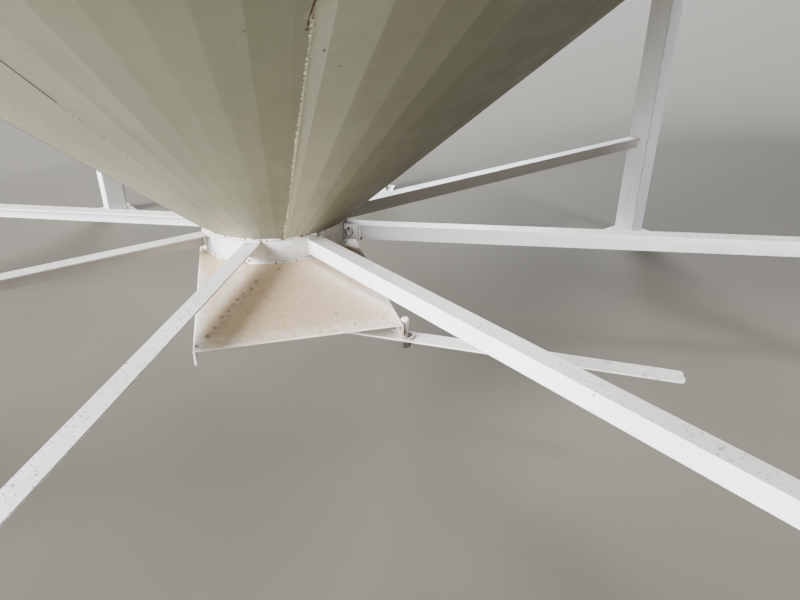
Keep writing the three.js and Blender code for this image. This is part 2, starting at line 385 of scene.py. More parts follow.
@dataclass(frozen=True)
class Enamel(Finish):
    """Alkyd enamel on rolled steel, years outdoors.

    It gives a low satin sheen, a colour that has faded in soft clouds, dust and dark specks where it
    faces up, painted shade on its sides if wanted, faint streaks down its slope, dirt with painted shade
    in its corners, and a few flecks.
    """

    faded: str
    dust: str
    grime: str
    fleck: str
    roughness: float = 0.42
    fading: float = 0.6
    dusting: float = 0.5
    specking: float = 0.0
    streaking: float = 0.3
    corner_dirt_and_shade: float = 0.0
    fleck_share: float = 0.5
    fleck_spacing: float = 0.09
    fleck_radius: float = 0.004
    clean_beyond: float = 0.0
    # The colour and strength of painted shade on faces that don't face up.
    side_shade: str = "#86796A"
    side_shading: float = 0.0
    runs: Runs = Runs.DOWN_WALL
    marks: tuple[Mark, ...] = ()
    mark_stretch: Point = (1.0, 1.0, 1.0)
    bands: tuple[Band, ...] = ()
    tones: tuple[Tone, ...] = ()

    cloud_size = 0.35
    mottle_size = 0.02
    mottling = 0.35
    streak_width = 0.03
    streak_stretch = 14
    dust_size = 0.012
    least_dust = 0.45
    speck_size = 0.007
    fleck_strength = 0.8
    corner_reach = 0.03
    ragged_size = 0.006
    raggedness = 0.6
    sheen_size = 0.08
    sheen_spread = (-0.06, 0.1)
    # Real brush marks are finer, and these are as coarse as they have to be to show.
    brush_size = 0.0025
    brush_depth = 0.00025
    brush_strength = 0.25
    refraction = 1.5

    def lay(self, coat: Coat) -> dict[str, object]:
        """Lays every layer, from the faded clouds up to the single marks.

        Args:
            coat: The coat to cover.

        Returns:
            The shader's inputs, besides its colour.
        """
        coat.cover(self.faded, self.clouds(coat))
        for tone in self.tones:
            coat.cover(tone.colour, *tone.masks(coat))
        coat.cover(self.grime, self.streaks(coat))
        self.dust_tops_and_shade_sides(coat)
        coat.cover(self.fleck, self.flecks(coat), self.fleck_strength)
        # Dirt with painted shade where other faces lie close.
        if self.corner_dirt_and_shade:
            coat.cover(self.grime, self.corners(coat))
        for band in self.bands:
            coat.cover(band.colour, *band.masks(coat))
        ragged = coat.patches(self.ragged_size, 2.0, (0.0, 1.0), (-self.raggedness, self.raggedness))
        for mark in self.marks:
            coat.cover(mark.colour, mark.mask(coat, self.mark_stretch, ragged))
        smoothest, dullest = (self.roughness + shift for shift in self.sheen_spread)
        return {
            "Roughness": coat.patches(self.sheen_size, 3.0, (0.3, 0.7), (smoothest, dullest)),
            "IOR": self.refraction,
            "Normal": coat.relief(self.brush_size, 3.0, self.brush_strength, self.brush_depth),
        }

    def clouds(self, coat: Coat) -> Socket:
        """The mask of the faded clouds, each a hand or two wide and mottled.

        Args:
            coat: The coat that they lie on.

        Returns:
            The mask.
        """
        wide, fine = (
            coat.add("ShaderNodeTexNoise", {"Vector": coat.place, "Scale": 1 / size, "Detail": detail})["Fac"]
            for size, detail in ((self.cloud_size, 5.0), (self.mottle_size, 4.0))
        )
        both = coat.add("ShaderNodeMath", {0: fine, 1: self.mottling, 2: wide}, operation="MULTIPLY_ADD")[0]
        return coat.add("ShaderNodeMapRange", {
            "Value": both, "From Min": 0.5, "From Max": 0.85, "To Max": self.fading,
        }, interpolation_type="SMOOTHSTEP")["Result"]

    def streaks(self, coat: Coat) -> Socket:
        """The mask of the rain streaks, narrow across the slope and long down it.

        Args:
            coat: The coat that they run down.

        Returns:
            The mask.
        """
        across = 1 / self.streak_width
        along = across / self.streak_stretch
        where = coat.place
        scale = (across, across, along)
        if self.runs is Runs.DOWN_CONE:
            height = coat.add("ShaderNodeSeparateXYZ", {"Vector": coat.place})["Z"]
            where = coat.add("ShaderNodeCombineXYZ", {"X": coat.azimuth(), "Y": height})[0]
            scale = (across, along, 1.0)
        stretched = coat.add("ShaderNodeVectorMath", {0: where, 1: scale}, operation="MULTIPLY")[0]
        return coat.patches(1.0, 4.0, (0.5, 0.85), (0.0, self.streaking), stretched, smooth=True)

    def dust_tops_and_shade_sides(self, coat: Coat) -> None:
        """Paints shade on what doesn't face up, and covers what does with dust and dark specks.

        Args:
            coat: The coat to cover.
        """
        normal = coat.add("ShaderNodeNewGeometry")["Normal"]
        upwards = coat.add("ShaderNodeSeparateXYZ", {"Vector": normal})["Z"]
        # Painted shade on the sides, which face away from the light.
        if self.side_shading:
            sides = coat.add("ShaderNodeMapRange", {
                "Value": upwards, "From Min": 0.3, "From Max": 0.6, "To Min": self.side_shading, "To Max": 0.0,
            })["Result"]
            coat.cover(self.side_shade, sides)
        tops = [coat.add("ShaderNodeMapRange", {
            "Value": upwards, "From Min": 0.55, "From Max": 0.98,
        }, interpolation_type="SMOOTHSTEP")["Result"]]
        if self.clean_beyond:
            side = coat.add("ShaderNodeSeparateXYZ", {"Vector": coat.place})["X"]
            aside = coat.add("ShaderNodeMath", {0: side}, operation="ABSOLUTE")[0]
            inside = coat.add("ShaderNodeMath", {0: aside, 1: self.clean_beyond}, operation="LESS_THAN")[0]
            tops.append(inside)
        dusting = (self.least_dust * self.dusting, self.dusting)
        coat.cover(self.dust, *tops, coat.patches(self.dust_size, 6.0, (0.3, 0.7), dusting))
        coat.cover(self.grime, *tops, coat.patches(self.speck_size, 4.0, (0.6, 0.68), (0.0, self.specking)))

    def flecks(self, coat: Coat) -> Socket:
        """The mask of the flecks: one in each of some cells, and most of them tiny.

        Args:
            coat: The coat that they lie on.

        Returns:
            The mask.
        """
        cells = coat.add("ShaderNodeTexVoronoi", {"Vector": coat.place, "Scale": 1 / self.fleck_spacing})
        chance = coat.add("ShaderNodeSeparateColor", {"Color": cells["Color"]})["Red"]
        reach = coat.add("ShaderNodeMapRange", {
            "Value": chance, "From Min": 1 - self.fleck_share, "From Max": 1.0,
            "To Max": self.fleck_radius / self.fleck_spacing,
        })["Result"]
        return coat.add("ShaderNodeMath", {0: cells["Distance"], 1: reach}, operation="LESS_THAN")[0]

    def corners(self, coat: Coat) -> Socket:
        """The mask of dirt with painted shade wherever other faces lie close by, as in inner corners."""
        near = coat.add("ShaderNodeAmbientOcclusion", {"Distance": self.corner_reach}, samples=4)["AO"]
        return coat.add("ShaderNodeMapRange", {
            "Value": near, "From Min": 0.35, "From Max": 0.8, "To Min": self.corner_dirt_and_shade, "To Max": 0.0,
        })["Result"]


@dataclass(frozen=True)
class RustedWeld(Finish):
    """An arc-weld bead, painted over: lumpy and pale, with rust bleeding through in places."""

    rust_share: float
    rust: str = "#6B4631"
    scorch: str = "#33281F"

    patch_size = 0.012
    pit_size = 0.005
    pit_depth = 0.0008

    def lay(self, coat: Coat) -> dict[str, object]:
        """Lays rust in patches over the paint, and scale in the pits of the rust.

        Args:
            coat: The coat to cover.

        Returns:
            The shader's inputs, besides its colour.
        """
        bleeding = (0.72 - 0.35 * self.rust_share, 0.8 - 0.3 * self.rust_share)
        rusty = coat.patches(self.patch_size, 5.0, bleeding, smooth=True)
        coat.cover(self.rust, rusty)
        coat.cover(self.scorch, rusty, coat.patches(self.pit_size, 4.0, (0.5, 0.65)))
        dullness = {"Value": rusty, "To Min": 0.45, "To Max": 0.9}
        return {
            "Roughness": coat.add("ShaderNodeMapRange", dullness)["Result"],
            "Normal": coat.relief(self.pit_size, 4.0, 0.5, self.pit_depth),
        }


@dataclass(frozen=True)
class WeatheredSteel(Finish):
    """Turned mild steel left bare: dull grey metal under a skin of brown oxide."""

    oxide: str
    oxide_share: float

    skin_size = 0.009
    skin_depth = 0.0004

    def lay(self, coat: Coat) -> dict[str, object]:
        """Lays the skin of oxide, which dulls the metal where it has grown.

        Args:
            coat: The coat to cover.

        Returns:
            The shader's inputs, besides its colour.
        """
        grown = (0.62 - 0.3 * self.oxide_share, 0.72 - 0.2 * self.oxide_share)
        oxidised = coat.patches(self.skin_size, 6.0, grown, smooth=True)
        coat.cover(self.oxide, oxidised)
        dullness = {"Value": oxidised, "To Min": 0.42, "To Max": 0.85}
        return {
            "Metallic": coat.add("ShaderNodeMath", {0: 1.0, 1: oxidised}, operation="SUBTRACT")[0],
            "Roughness": coat.add("ShaderNodeMapRange", dullness)["Result"],
            "Normal": coat.relief(self.skin_size, 6.0, 0.4, self.skin_depth),
        }


# Brushed enamel on the cone's rolled sheets: a darker, yellower cream than the frame's, darkened further as
# painted shade; satin, with painted shade and light on its strips over a real difference of tone between the
# sheets.
CONE_ENAMEL = Enamel(
    name="silo cream enamel, shaded side",
    base="#8B8B74",
    faded="#828068",
    dust="#89846C",
    grime="#4E4636",
    fleck="#4E4636",
    roughness=0.5,
    fading=0.7,
    streaking=0.16,
    fleck_share=0.35,
    fleck_spacing=0.14,
    runs=Runs.DOWN_CONE,
    mark_stretch=(1.0, 0.6, 0.8),
    marks=(
        Mark((-0.0725, -1.0109, 1.1956), 0.0035),
        Mark((0.0599, -0.9713, 1.1618), 0.0040, strength=1.0),
        Mark((0.0933, -0.9320, 1.1311), 0.0035, strength=0.7),
        Mark((0.4443, -0.6666, 1.0174), 0.0060),
        Mark((0.0262, -1.0160, 1.1980), 0.0030, RUST_DARK, 1.0, 0.6),
        Mark((0.0345, -1.0400, 1.2180), 0.014, SCORCHED, 0.6, 0.2),
        Mark((0.0400, -1.0750, 1.2480), 0.016, SCORCHED, 0.6, 0.2),
        Mark((0.0400, -1.1150, 1.2815), 0.016, SCORCHED, 0.5, 0.2),
    ),
    # Painted shade that deepens strip by strip over the cone's right side; beside the front seam, painted
    # shade to its left and painted light to its right, over real differences of tone between the sheets.
    tones=(
        Tone((248.88, 253.19), FAINT_TONE_AND_SHADE, 0.18),
        Tone((253.19, 261.81), FAINT_TONE_AND_SHADE, 0.23),
        Tone((261.81, 266.12), FAINT_TONE_AND_SHADE, 0.26),
        Tone((266.12, 270.43), FAINT_TONE_AND_SHADE, 0.44),
        Tone((270.43, 271.90), FAINT_TONE_AND_SHADE, 0.51),
        Tone((271.9, 273.9), BLEACH_AND_PAINTED_LIGHT, 0.55),
        Tone((273.9, 278.97), BLEACH_AND_PAINTED_LIGHT, 0.2),
        Tone((284.04, 289.11), FACET_SHADE, 0.16),
        Tone((289.11, 294.18), FACET_SHADE, 0.4),
        Tone((294.18, 299.25), FACET_SHADE, 0.5),
        Tone((299.25, 304.63), FACET_SHADE, 0.53),
        Tone((304.63, 337.0), FACET_SHADE, 0.55, (0.05, 12.0)),
    ),
)
# Enamel on hot-rolled angle and box tube: nearly white, with dusty, specked tops and inner corners browned by
# dirt and painted shade.
FRAME_ENAMEL = Enamel(
    name="silo off-white enamel",
    base="#EBEAE8",
    faded="#DEDBD5",
    dust="#CFC3B2",
    grime="#5F564A",
    fleck="#5F564A",
    dusting=0.65,
    specking=0.7,
    streaking=0.18,
    corner_dirt_and_shade=0.6,
    fleck_share=0.45,
    fleck_spacing=0.075,
    fleck_radius=0.0045,
)
# Four struts are lit and shaded copies of the frame's enamel: painted shade on the sides of two, with less
# dust on their tops; a brighter white as painted light on one; and a darker grey as painted shade on another.
LIT_AND_SHADED_STRUT_ENAMELS = {
    1: replace(FRAME_ENAMEL, name="silo off-white enamel, painted side shade, less dust", dusting=0.2, side_shading=0.72),
    5: replace(FRAME_ENAMEL, name="silo off-white enamel, painted side shade, some dust", dusting=0.3, side_shading=0.72),
    6: replace(FRAME_ENAMEL, name="silo off-white enamel, brightened as painted light", base="#FBFAF7", dusting=0.05),
    8: replace(
        FRAME_ENAMEL, name="silo off-white enamel, darkened as painted shade", base="#D6D5D2", side_shade="#94918C", side_shading=0.5,
    ),
}
# Enamel over the spatter that welding the ring left: blotchy, and full of small rusty flecks.
COLLAR_ENAMEL = Enamel(
    name="silo off-white enamel over weld spatter",
    base="#E6E4DE",
    faded="#B9B6AF",
    dust="#D0C6B6",
    grime="#5F564A",
    fleck="#7B5A43",
    fading=0.9,
    streaking=0.25,
    corner_dirt_and_shade=0.6,
    fleck_share=0.6,
    fleck_spacing=0.035,
    fleck_radius=0.0035,
    marks=(
        # Painted shade with dirt: a dark ring round the lug's hole and a dark patch on the ring behind it.
        Mark((0.2359, -0.1287, 0.516), 0.0165, DARK_SHADE_AND_DIRT, 1.0, 0.8),
        Mark((0.2500, -0.0250, 0.480), 0.055, DARK_SHADE_AND_DIRT, 0.95, 0.6),
    ),
)
# Enamel on flat bar, worn by hands: a warmer white, with dried mud and a rusty end where it was cut.
LEVER_ENAMEL = Enamel(
    name="silo off-white enamel, worn by hand",
    base="#E2DFD7",
    faded="#CFC9BD",
    dust="#D6CFC2",
    grime="#5F564A",
    fleck="#6B4F3B",
    specking=0.7,
    streaking=0.1,
    corner_dirt_and_shade=0.4,
    fleck_spacing=0.05,
    marks=(
        Mark((0.612, -0.915, 0.421), 0.014, MUD, 0.5, 0.0),
        Mark((0.732, -0.976, 0.421), 0.016, MUD, 0.5, 0.0),
        Mark((0.789, -1.047, 0.421), 0.012, RUST_DARK, 0.5, 0.0),
        Mark((0.807, -1.072, 0.418), 0.010, RUST_DARK, 0.7, 0.2),
        Mark((0.278, -0.735, 0.421), 0.032, "#8C6B52", 0.45, 0.4),
        Mark((0.266, -0.729, 0.446), 0.017, "#7A5B45", 0.75, 0.1),
    ),
)
# Spots on the gate plate, each with its place, its radius and its strength.
MUD_SPOTS = (
    (-0.095, -0.377, 0.010, 0.55), (-0.109, -0.428, 0.010, 0.5), (-0.135, -0.455, 0.008, 0.6),
    (-0.166, -0.515, 0.007, 0.6), (-0.213, -0.640, 0.009, 0.6), (-0.127, -0.575, 0.006, 0.4),
    (-0.177, -0.552, 0.009, 0.6), (-0.195, -0.587, 0.012, 0.6), (-0.070, -0.491, 0.008, 0.5),
    (-0.201, -0.290, 0.008, 0.4), (0.103, -0.641, 0.010, 0.45), (0.156, -0.650, 0.009, 0.3),
    (0.221, -0.699, 0.010, 0.5),
)
RUST_SPOTS = (
    (-0.255, -0.725, 0.007, 0.9), (-0.151, -0.487, 0.010, 0.75), (-0.230, -0.682, 0.012, 0.75),
    (-0.021, -0.299, 0.007, 0.85), (0.142, -0.714, 0.006, 0.8),
)
# Enamel on the bent gate plate: cream, stained brown by grain dust, with cleaner bands beside the struts,
# drip dirt with a painted shadow under one, and painted shade with dirt behind the lug.
GATE_ENAMEL = Enamel(
    name="silo cream enamel, grain-stained",
    base="#DED3BC",
    faded="#CDBFA6",
    dust="#CAA57C",
    grime="#85735F",
    fleck="#8A6F58",
    roughness=0.5,
    dusting=0.85,
    specking=0.35,
    streaking=0.2,
    corner_dirt_and_shade=0.5,
    fleck_spacing=0.04,
    fleck_radius=0.003,
    clean_beyond=0.253,
    mark_stretch=(1.3, 0.75, 1.0),
    marks=(
        *(Mark((x, y, PLATE_TOP), radius, MUD, strength) for x, y, radius, strength in MUD_SPOTS),
        *(Mark((x, y, PLATE_TOP), radius, RUST_DARK, strength) for x, y, radius, strength in RUST_SPOTS),
        Mark((0.250, -0.748, 0.440), 0.030, "#8C5A48", 0.7),
        # Painted shade with dirt behind the lug, where the lug's hole looks through.
        Mark((0.250, -0.030, PLATE_TOP), 0.070, DARK_SHADE_AND_DIRT, 0.95, 0.6),
    ),
    bands=(
        Band((-0.092, -0.215), (-0.254, -0.605), 0.040, "#DDD9D1", 0.7),
        Band((0.085, -0.280), (0.250, -0.640), 0.050, "#DDD9D1", 0.75),
        # Drip dirt under a strut, with the strut's shadow painted in.
        Band((-0.050, -0.270), (-0.245, -0.735), 0.034, "#7B746B", 0.64),
        Band((-0.260, -0.744), (0.260, -0.744), 0.075, "#EFE6D8", 0.85, 0.04),
        Band((-0.262, -0.220), (-0.262, -0.744), 0.040, "#F1EEE8", 1.0, 0.1),
    ),
)
# Arc welds, from painted and nearly clean to open rust, and bare steel under more or less oxide.
CONE_WELD = RustedWeld("painted arc weld on the cone", "#B1AF93", 0.1)
SCORCHED_WELD = RustedWeld("scorched arc weld on the cone", "#A08E7C", 0.25)
SEAM_GAP = RustedWeld("rust and dirt in an open lap", "#6E604C", 0.8, "#66553F", "#45382A")
OPEN_RUST = RustedWeld("open rust in a cracked seam", RUST_DARK, 1.0, RUST_DARK, "#2A1E14")
FRAME_WELD = RustedWeld("painted arc weld on the frame", "#E2DED4", 0.55)
BARE_STEEL = WeatheredSteel("weathered mild steel", "#8C8984", "#6B5444", 0.5)
# Rusted steel darkened further as painted shade, for the nut under the lever.
RUSTED_SHADED_STEEL = WeatheredSteel("rusted mild steel, painted shade", "#5E5B57", "#40362F", 0.9)


@dataclass(frozen=True)
class EdgeRule:
    """How far some edges of a plain solid are rounded."""

    width: float
    picks: Callable[[bmesh.types.BMEdge], bool]
    segments: int = 3


def merged_copy(node: str) -> bmesh.types.BMesh:
    """A CAD node's mesh with its doubled points merged and its flat faces made whole.

    Args:
        node: The CAD node's name.

    Returns:
        A new bmesh, which the caller frees.
    """
    solid = bmesh.new()
    solid.from_mesh(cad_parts[node].data)
    bmesh.ops.remove_doubles(solid, verts=solid.verts, dist=SAME_POINT)
    bmesh.ops.dissolve_limit(solid, angle_limit=FLAT_ANGLE, verts=solid.verts, edges=solid.edges)
    return solid


def round_edges(solid: bmesh.types.BMesh, rules: Sequence[EdgeRule]) -> None:
    """Rounds the edges that each rule picks, one rule after the other.

    Args:
        solid: The mesh to change. Its faces with many sides are cut up, as they can be hollow at a corner.
        rules: The rules, with the widest first.
    """
    many_sided = [face for face in solid.faces if len(face.verts) > WHOLE_FACE_SIDES]
    bmesh.ops.triangulate(solid, faces=many_sided, ngon_method="EAR_CLIP")
    for rule in rules:
        edges = [edge for edge in solid.edges if len(edge.link_faces) == 2 and rule.picks(edge)]
        bmesh.ops.bevel(
            solid, geom=edges, offset=rule.width, offset_type="OFFSET", segments=rule.segments,
            profile=0.5, affect="EDGES", clamp_overlap=True,
        )


def is_corner(edge: bmesh.types.BMEdge) -> bool:
    """True for an outer edge that turns by more than the sharp angle."""
    return edge.is_convex and edge.calc_face_angle(0.0) > SHARP_ANGLE


def is_root(edge: bmesh.types.BMEdge) -> bool:
    """True for an inner edge that turns by more than the sharp angle."""
    return not edge.is_convex and edge.calc_face_angle(0.0) > SHARP_ANGLE


def is_upright(edge: bmesh.types.BMEdge) -> bool:
    """True for an outer edge that runs straight up."""
    run = edge.verts[1].co - edge.verts[0].co
    return is_corner(edge) and abs(run.z) > UPRIGHT_SHARE * run.length


def make_object(name: str, data: bpy.types.ID) -> bpy.types.Object:
    """Puts a mesh, a light or a camera into the scene.

    Args:
        name: The object's name.
        data: What it shows.

    Returns:
        The object, at the origin.
    """
    made = bpy.data.objects.new(name, data)
    bpy.context.scene.collection.objects.link(made)
    return made


def applied(piece: bpy.types.Object) -> bpy.types.Object:
    """Replaces a piece by a plain mesh of what its modifiers make.

    Args:
        piece: The object with live modifiers, which is removed.

    Returns:
        The plain object, under the same name.
    """
    name = piece.name
    graph = bpy.context.evaluated_depsgraph_get()
    mesh = bpy.data.meshes.new_from_object(piece.evaluated_get(graph), depsgraph=graph)
    old_mesh = piece.data
    bpy.data.objects.remove(piece)
    bpy.data.meshes.remove(old_mesh)
    mesh.name = name
    return make_object(name, mesh)


def shaded(name: str, solid: bmesh.types.BMesh, finish: Finish) -> bpy.types.Object:
    """Makes a piece of a bmesh, smooth over its rounded edges and flat on its faces.

    Args:
        name: The piece's name.
        solid: The finished bmesh, which is freed.
        finish: Its finish.

    Returns:
        The piece, with its normals weighted by face area.
    """
    mesh = bpy.data.meshes.new(name)
    solid.to_mesh(mesh)
    solid.free()
    mesh.materials.append(finish.material())
    mesh.shade_smooth()
    mesh.set_sharp_from_angle(angle=SHARP_ANGLE)
    piece = make_object(name, mesh)
    piece.modifiers.new("flat faces", "WEIGHTED_NORMAL").keep_sharp = True
    return applied(piece)


def seat(piece: bpy.types.Object, body: Body, slot: Slot, *nodes: str) -> None:
    """Fixes a piece to its body, hides the nodes that it replaces, and reports it.

    Args:
        piece: The finished piece.
        body: The body that it rides on.
        slot: Not used.
        nodes: The CAD nodes that it stands for, if any.
    """
    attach(piece, body.value)
    if nodes:
        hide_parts(*nodes)
    LOG.info("%s rides on %s with %d faces", piece.name, body.value, len(piece.data.polygons))


def dress(
    node: str, name: str, finish: Finish, rules: Sequence[EdgeRule],
    body: Body = Body.BASE, slot: Slot = Slot.FRAME,
) -> None:
    """Puts a copy of a CAD node with rounded edges in its place.

    Args:
        node: The CAD node's name.
        name: The new piece's name.
        finish: Its finish.
        rules: Which edges are rounded, and how far.
        body: The body that it rides on.
        slot: The slot for its finish.
    """
    solid = merged_copy(node)
    round_edges(solid, rules)
    seat(shaded(name, solid, finish), body, slot, node)


def line_mesh(name: str, lines: Lines, closed: bool = False) -> bpy.types.Mesh:
    """A mesh of edges along some lines.

    Args:
        name: The mesh's name.
        lines: The points of each line.
        closed: Whether each line returns to its start.

    Returns:
        The mesh, without faces.
    """
    points: list[Vector] = []
    edges: list[tuple[int, int]] = []
    for line in lines:
        first = len(points)
        points.extend(line)
        edges.extend((first + i, first + i + 1) for i in range(len(line) - 1))
        if closed:
            edges.append((first + len(line) - 1, first))
    mesh = bpy.data.meshes.new(name)
    mesh.from_pydata(points, edges, [])
    return mesh


def end_outline(node: str, towards: Vector) -> list[Vector]:
    """The outline of a bar's flat end.

    Args:
        node: The bar's CAD node.
        towards: The direction that the end faces.

    Returns:
        The corners of the end, in order.
    """
    solid = merged_copy(node)
    end = max(solid.faces, key=lambda face: (round(face.normal.dot(towards), 3), face.calc_area()))
    outline = [vert.co.copy() for vert in end.verts]
    solid.free()
    return outline


class GeometryTree(NodeTree):
    """A Geometry Nodes tree with named inputs, run on one mesh at a time."""

    def __init__(self, name: str, inputs: dict[str, str]) -> None:
        """Starts the tree.

        Args:
            name: The tree's name.
            inputs: Each input's name and kind, after the geometry and before the material.
        """
        super().__init__(bpy.data.node_groups.new(name, "GeometryNodeTree"))
        face = self.tree.interface
        face.new_socket("Geometry", in_out="OUTPUT", socket_type="NodeSocketGeometry")
        kinds = {"Geometry": "Geometry", **inputs, "Material": "Material"}
        self.identifiers = {
            title: face.new_socket(title, in_out="INPUT", socket_type=f"NodeSocket{kind}").identifier
            for title, kind in kinds.items()
        }
        self.given = self.add("NodeGroupInput")

    def end(self, geometry: Socket) -> None:
        """Closes the tree: real geometry, smooth faces, and the material set.

        Args:
            geometry: What the tree has made.
        """
        real = self.add("GeometryNodeRealizeInstances", {"Geometry": geometry})[0]
        smooth = self.add("GeometryNodeSetShadeSmooth", {"Geometry": real})[0]
        painted = {"Geometry": smooth, "Material": self.given["Material"]}
        self.add("NodeGroupOutput", {"Geometry": self.add("GeometryNodeSetMaterial", painted)[0]})

    def run(self, name: str, mesh: bpy.types.Mesh, values: dict[str, object]) -> bpy.types.Object:
        """Runs the tree on a mesh.

        Args:
            name: The new piece's name.
            mesh: What the tree starts from.
            values: A value for each named input.

        Returns:
            A plain mesh object with the result.
        """
        piece = make_object(name, mesh)
        modifier = piece.modifiers.new("tree", "NODES")
        modifier.node_group = self.tree
        for title, value in values.items():
            modifier[self.identifiers[title]] = value
        return applied(piece)


@dataclass(frozen=True)
class Bead:
    """The size of a weld bead."""

    radius: float
    lump_length: float
    lumpiness: float
    step: float
    sides: int = 8


class Welder(GeometryTree):
    """Lays a lumpy weld bead along each line of a mesh of edges."""

    fine_lumps = 2.3

    def __init__(self) -> None:
        """Builds the tree."""
        super().__init__("weld bead along a line", {
            "Radius": "Float", "Lump Length": "Float", "Lumpiness": "Float", "Step": "Float",
            "Sides": "Int", "Seed": "Float",
        })
        given = self.given
        line = self.add("GeometryNodeMeshToCurve", {"Mesh": given["Geometry"]})[0]
        steps = {"Curve": line, "Length": given["Step"]}
        even = self.add("GeometryNodeResampleCurve", steps, mode="LENGTH")[0]
        place = self.add("GeometryNodeInputPosition")[0]
        density = self.add("ShaderNodeMath", {0: 1.0, 1: given["Lump Length"]}, operation="DIVIDE")[0]
        lumps = self.add("ShaderNodeTexNoise", {
            "Vector": place, "W": given["Seed"], "Scale": density, "Detail": 3.0,
        }, noise_dimensions="4D")["Fac"]
        least = self.add("ShaderNodeMath", {0: 1.0, 1: given["Lumpiness"]}, operation="SUBTRACT")[0]
        most = self.add("ShaderNodeMath", {0: 1.0, 1: given["Lumpiness"]}, operation="ADD")[0]
        size = self.add("ShaderNodeMapRange", {
            "Value": lumps, "From Min": 0.3, "From Max": 0.7, "To Min": least, "To Max": most,
        })["Result"]
        radius = self.add("ShaderNodeMath", {0: size, 1: given["Radius"]}, operation="MULTIPLY")[0]
        profile = self.add("GeometryNodeCurvePrimitiveCircle", {
            "Resolution": given["Sides"], "Radius": 1.0,
        })["Curve"]
        tube = self.add("GeometryNodeCurveToMesh", {
            "Curve": even, "Profile Curve": profile, "Scale": radius, "Fill Caps": True,
        })[0]
        finer = self.add("ShaderNodeMath", {0: density, 1: self.fine_lumps}, operation="MULTIPLY")[0]
        fine = self.add("ShaderNodeTexNoise", {"Vector": place, "Scale": finer, "Detail": 2.0})["Color"]
        centred = self.add("ShaderNodeVectorMath", {0: fine, 1: (0.5, 0.5, 0.5)}, operation="SUBTRACT")[0]
        sizes = {0: given["Radius"], 1: given["Lumpiness"]}
        reach = self.add("ShaderNodeMath", sizes, operation="MULTIPLY")[0]
        push = self.add("ShaderNodeVectorMath", {0: centred, "Scale": reach}, operation="SCALE")[0]
        self.end(self.add("GeometryNodeSetPosition", {"Geometry": tube, "Offset": push})[0])

    def lay(
        self, name: str, lines: Lines, bead: Bead, finish: RustedWeld,
        slot: Slot = Slot.FRAME, closed: bool = False,
    ) -> None:
        """Lays one bead along each line, all as one piece on the base.

        Args:
            name: The piece's name.
            lines: Where the beads run.
            bead: Their size.
            finish: Their finish.
            slot: The slot for it.
            closed: Whether each line is a ring.
        """
        values = {
            "Radius": bead.radius, "Lump Length": bead.lump_length, "Lumpiness": bead.lumpiness,
            "Step": bead.step, "Sides": bead.sides, "Seed": float(len(name)), "Material": finish.material(),
        }
        seat(self.run(name, line_mesh(name, lines, closed), values), Body.BASE, slot)


class SheetTree(GeometryTree):
    """Raises one sheet of the cone from its foot corners: flat strips between bends that run up the slope."""

    waves_per_metre = 2.6

    def __init__(self) -> None:
        """Builds the tree."""
        super().__init__("bent cone sheet", {
            "Corners": "Int", "Last Corner": "Float", "Rows": "Int", "Run": "Float", "Rise": "Float",
            "Buckle": "Float",
        })
        given = self.given
        grid = self.add("GeometryNodeMeshGrid", {
            "Size X": given["Last Corner"], "Vertices X": given["Corners"], "Vertices Y": given["Rows"],
        })["Mesh"]
        place = self.add("GeometryNodeInputPosition")[0]
        split = self.add("ShaderNodeSeparateXYZ", {"Vector": place})
        half = self.add("ShaderNodeMath", {0: given["Last Corner"], 1: 0.5}, operation="MULTIPLY")[0]
        column = self.add("ShaderNodeMath", {0: split["X"], 1: half}, operation="ADD")[0]
        nearest = self.add("ShaderNodeMath", {0: column}, operation="ROUND")[0]
        share_up = self.add("ShaderNodeMath", {0: split["Y"], 1: 0.5}, operation="ADD")[0]
        corner = self.add("GeometryNodeSampleIndex", {
            "Geometry": given["Geometry"], "Value": place, "Index": nearest,
        }, data_type="FLOAT_VECTOR")[0]
        level = self.add("ShaderNodeVectorMath", {0: corner, 1: (1, 1, 0)}, operation="MULTIPLY")[0]
        outwards = self.add("ShaderNodeVectorMath", {0: level}, operation="NORMALIZE")[0]
        rise = self.add("ShaderNodeCombineXYZ", {"Z": given["Rise"]})[0]
        climb = self.add("ShaderNodeVectorMath", {
            0: outwards, 1: given["Run"], 2: rise,
        }, operation="MULTIPLY_ADD")[0]
        shift = self.add("ShaderNodeVectorMath", {0: climb, "Scale": share_up}, operation="SCALE")[0]
        bent = self.add("GeometryNodeSetPosition", {"Geometry": grid, "Position": corner, "Offset": shift})[0]
        shape = {"Vector": place, "Scale": self.waves_per_metre, "Detail": 2.0}
        waves = self.add("ShaderNodeTexNoise", shape)["Fac"]
        centred = self.add("ShaderNodeMath", {0: waves, 1: 0.5}, operation="SUBTRACT")[0]
        height = self.add("ShaderNodeMath", {0: centred, 1: given["Buckle"]}, operation="MULTIPLY")[0]
        normal = self.add("GeometryNodeInputNormal")[0]
        push = self.add("ShaderNodeVectorMath", {0: normal, "Scale": height}, operation="SCALE")[0]
        self.end(self.add("GeometryNodeSetPosition", {"Geometry": bent, "Offset": push})[0])


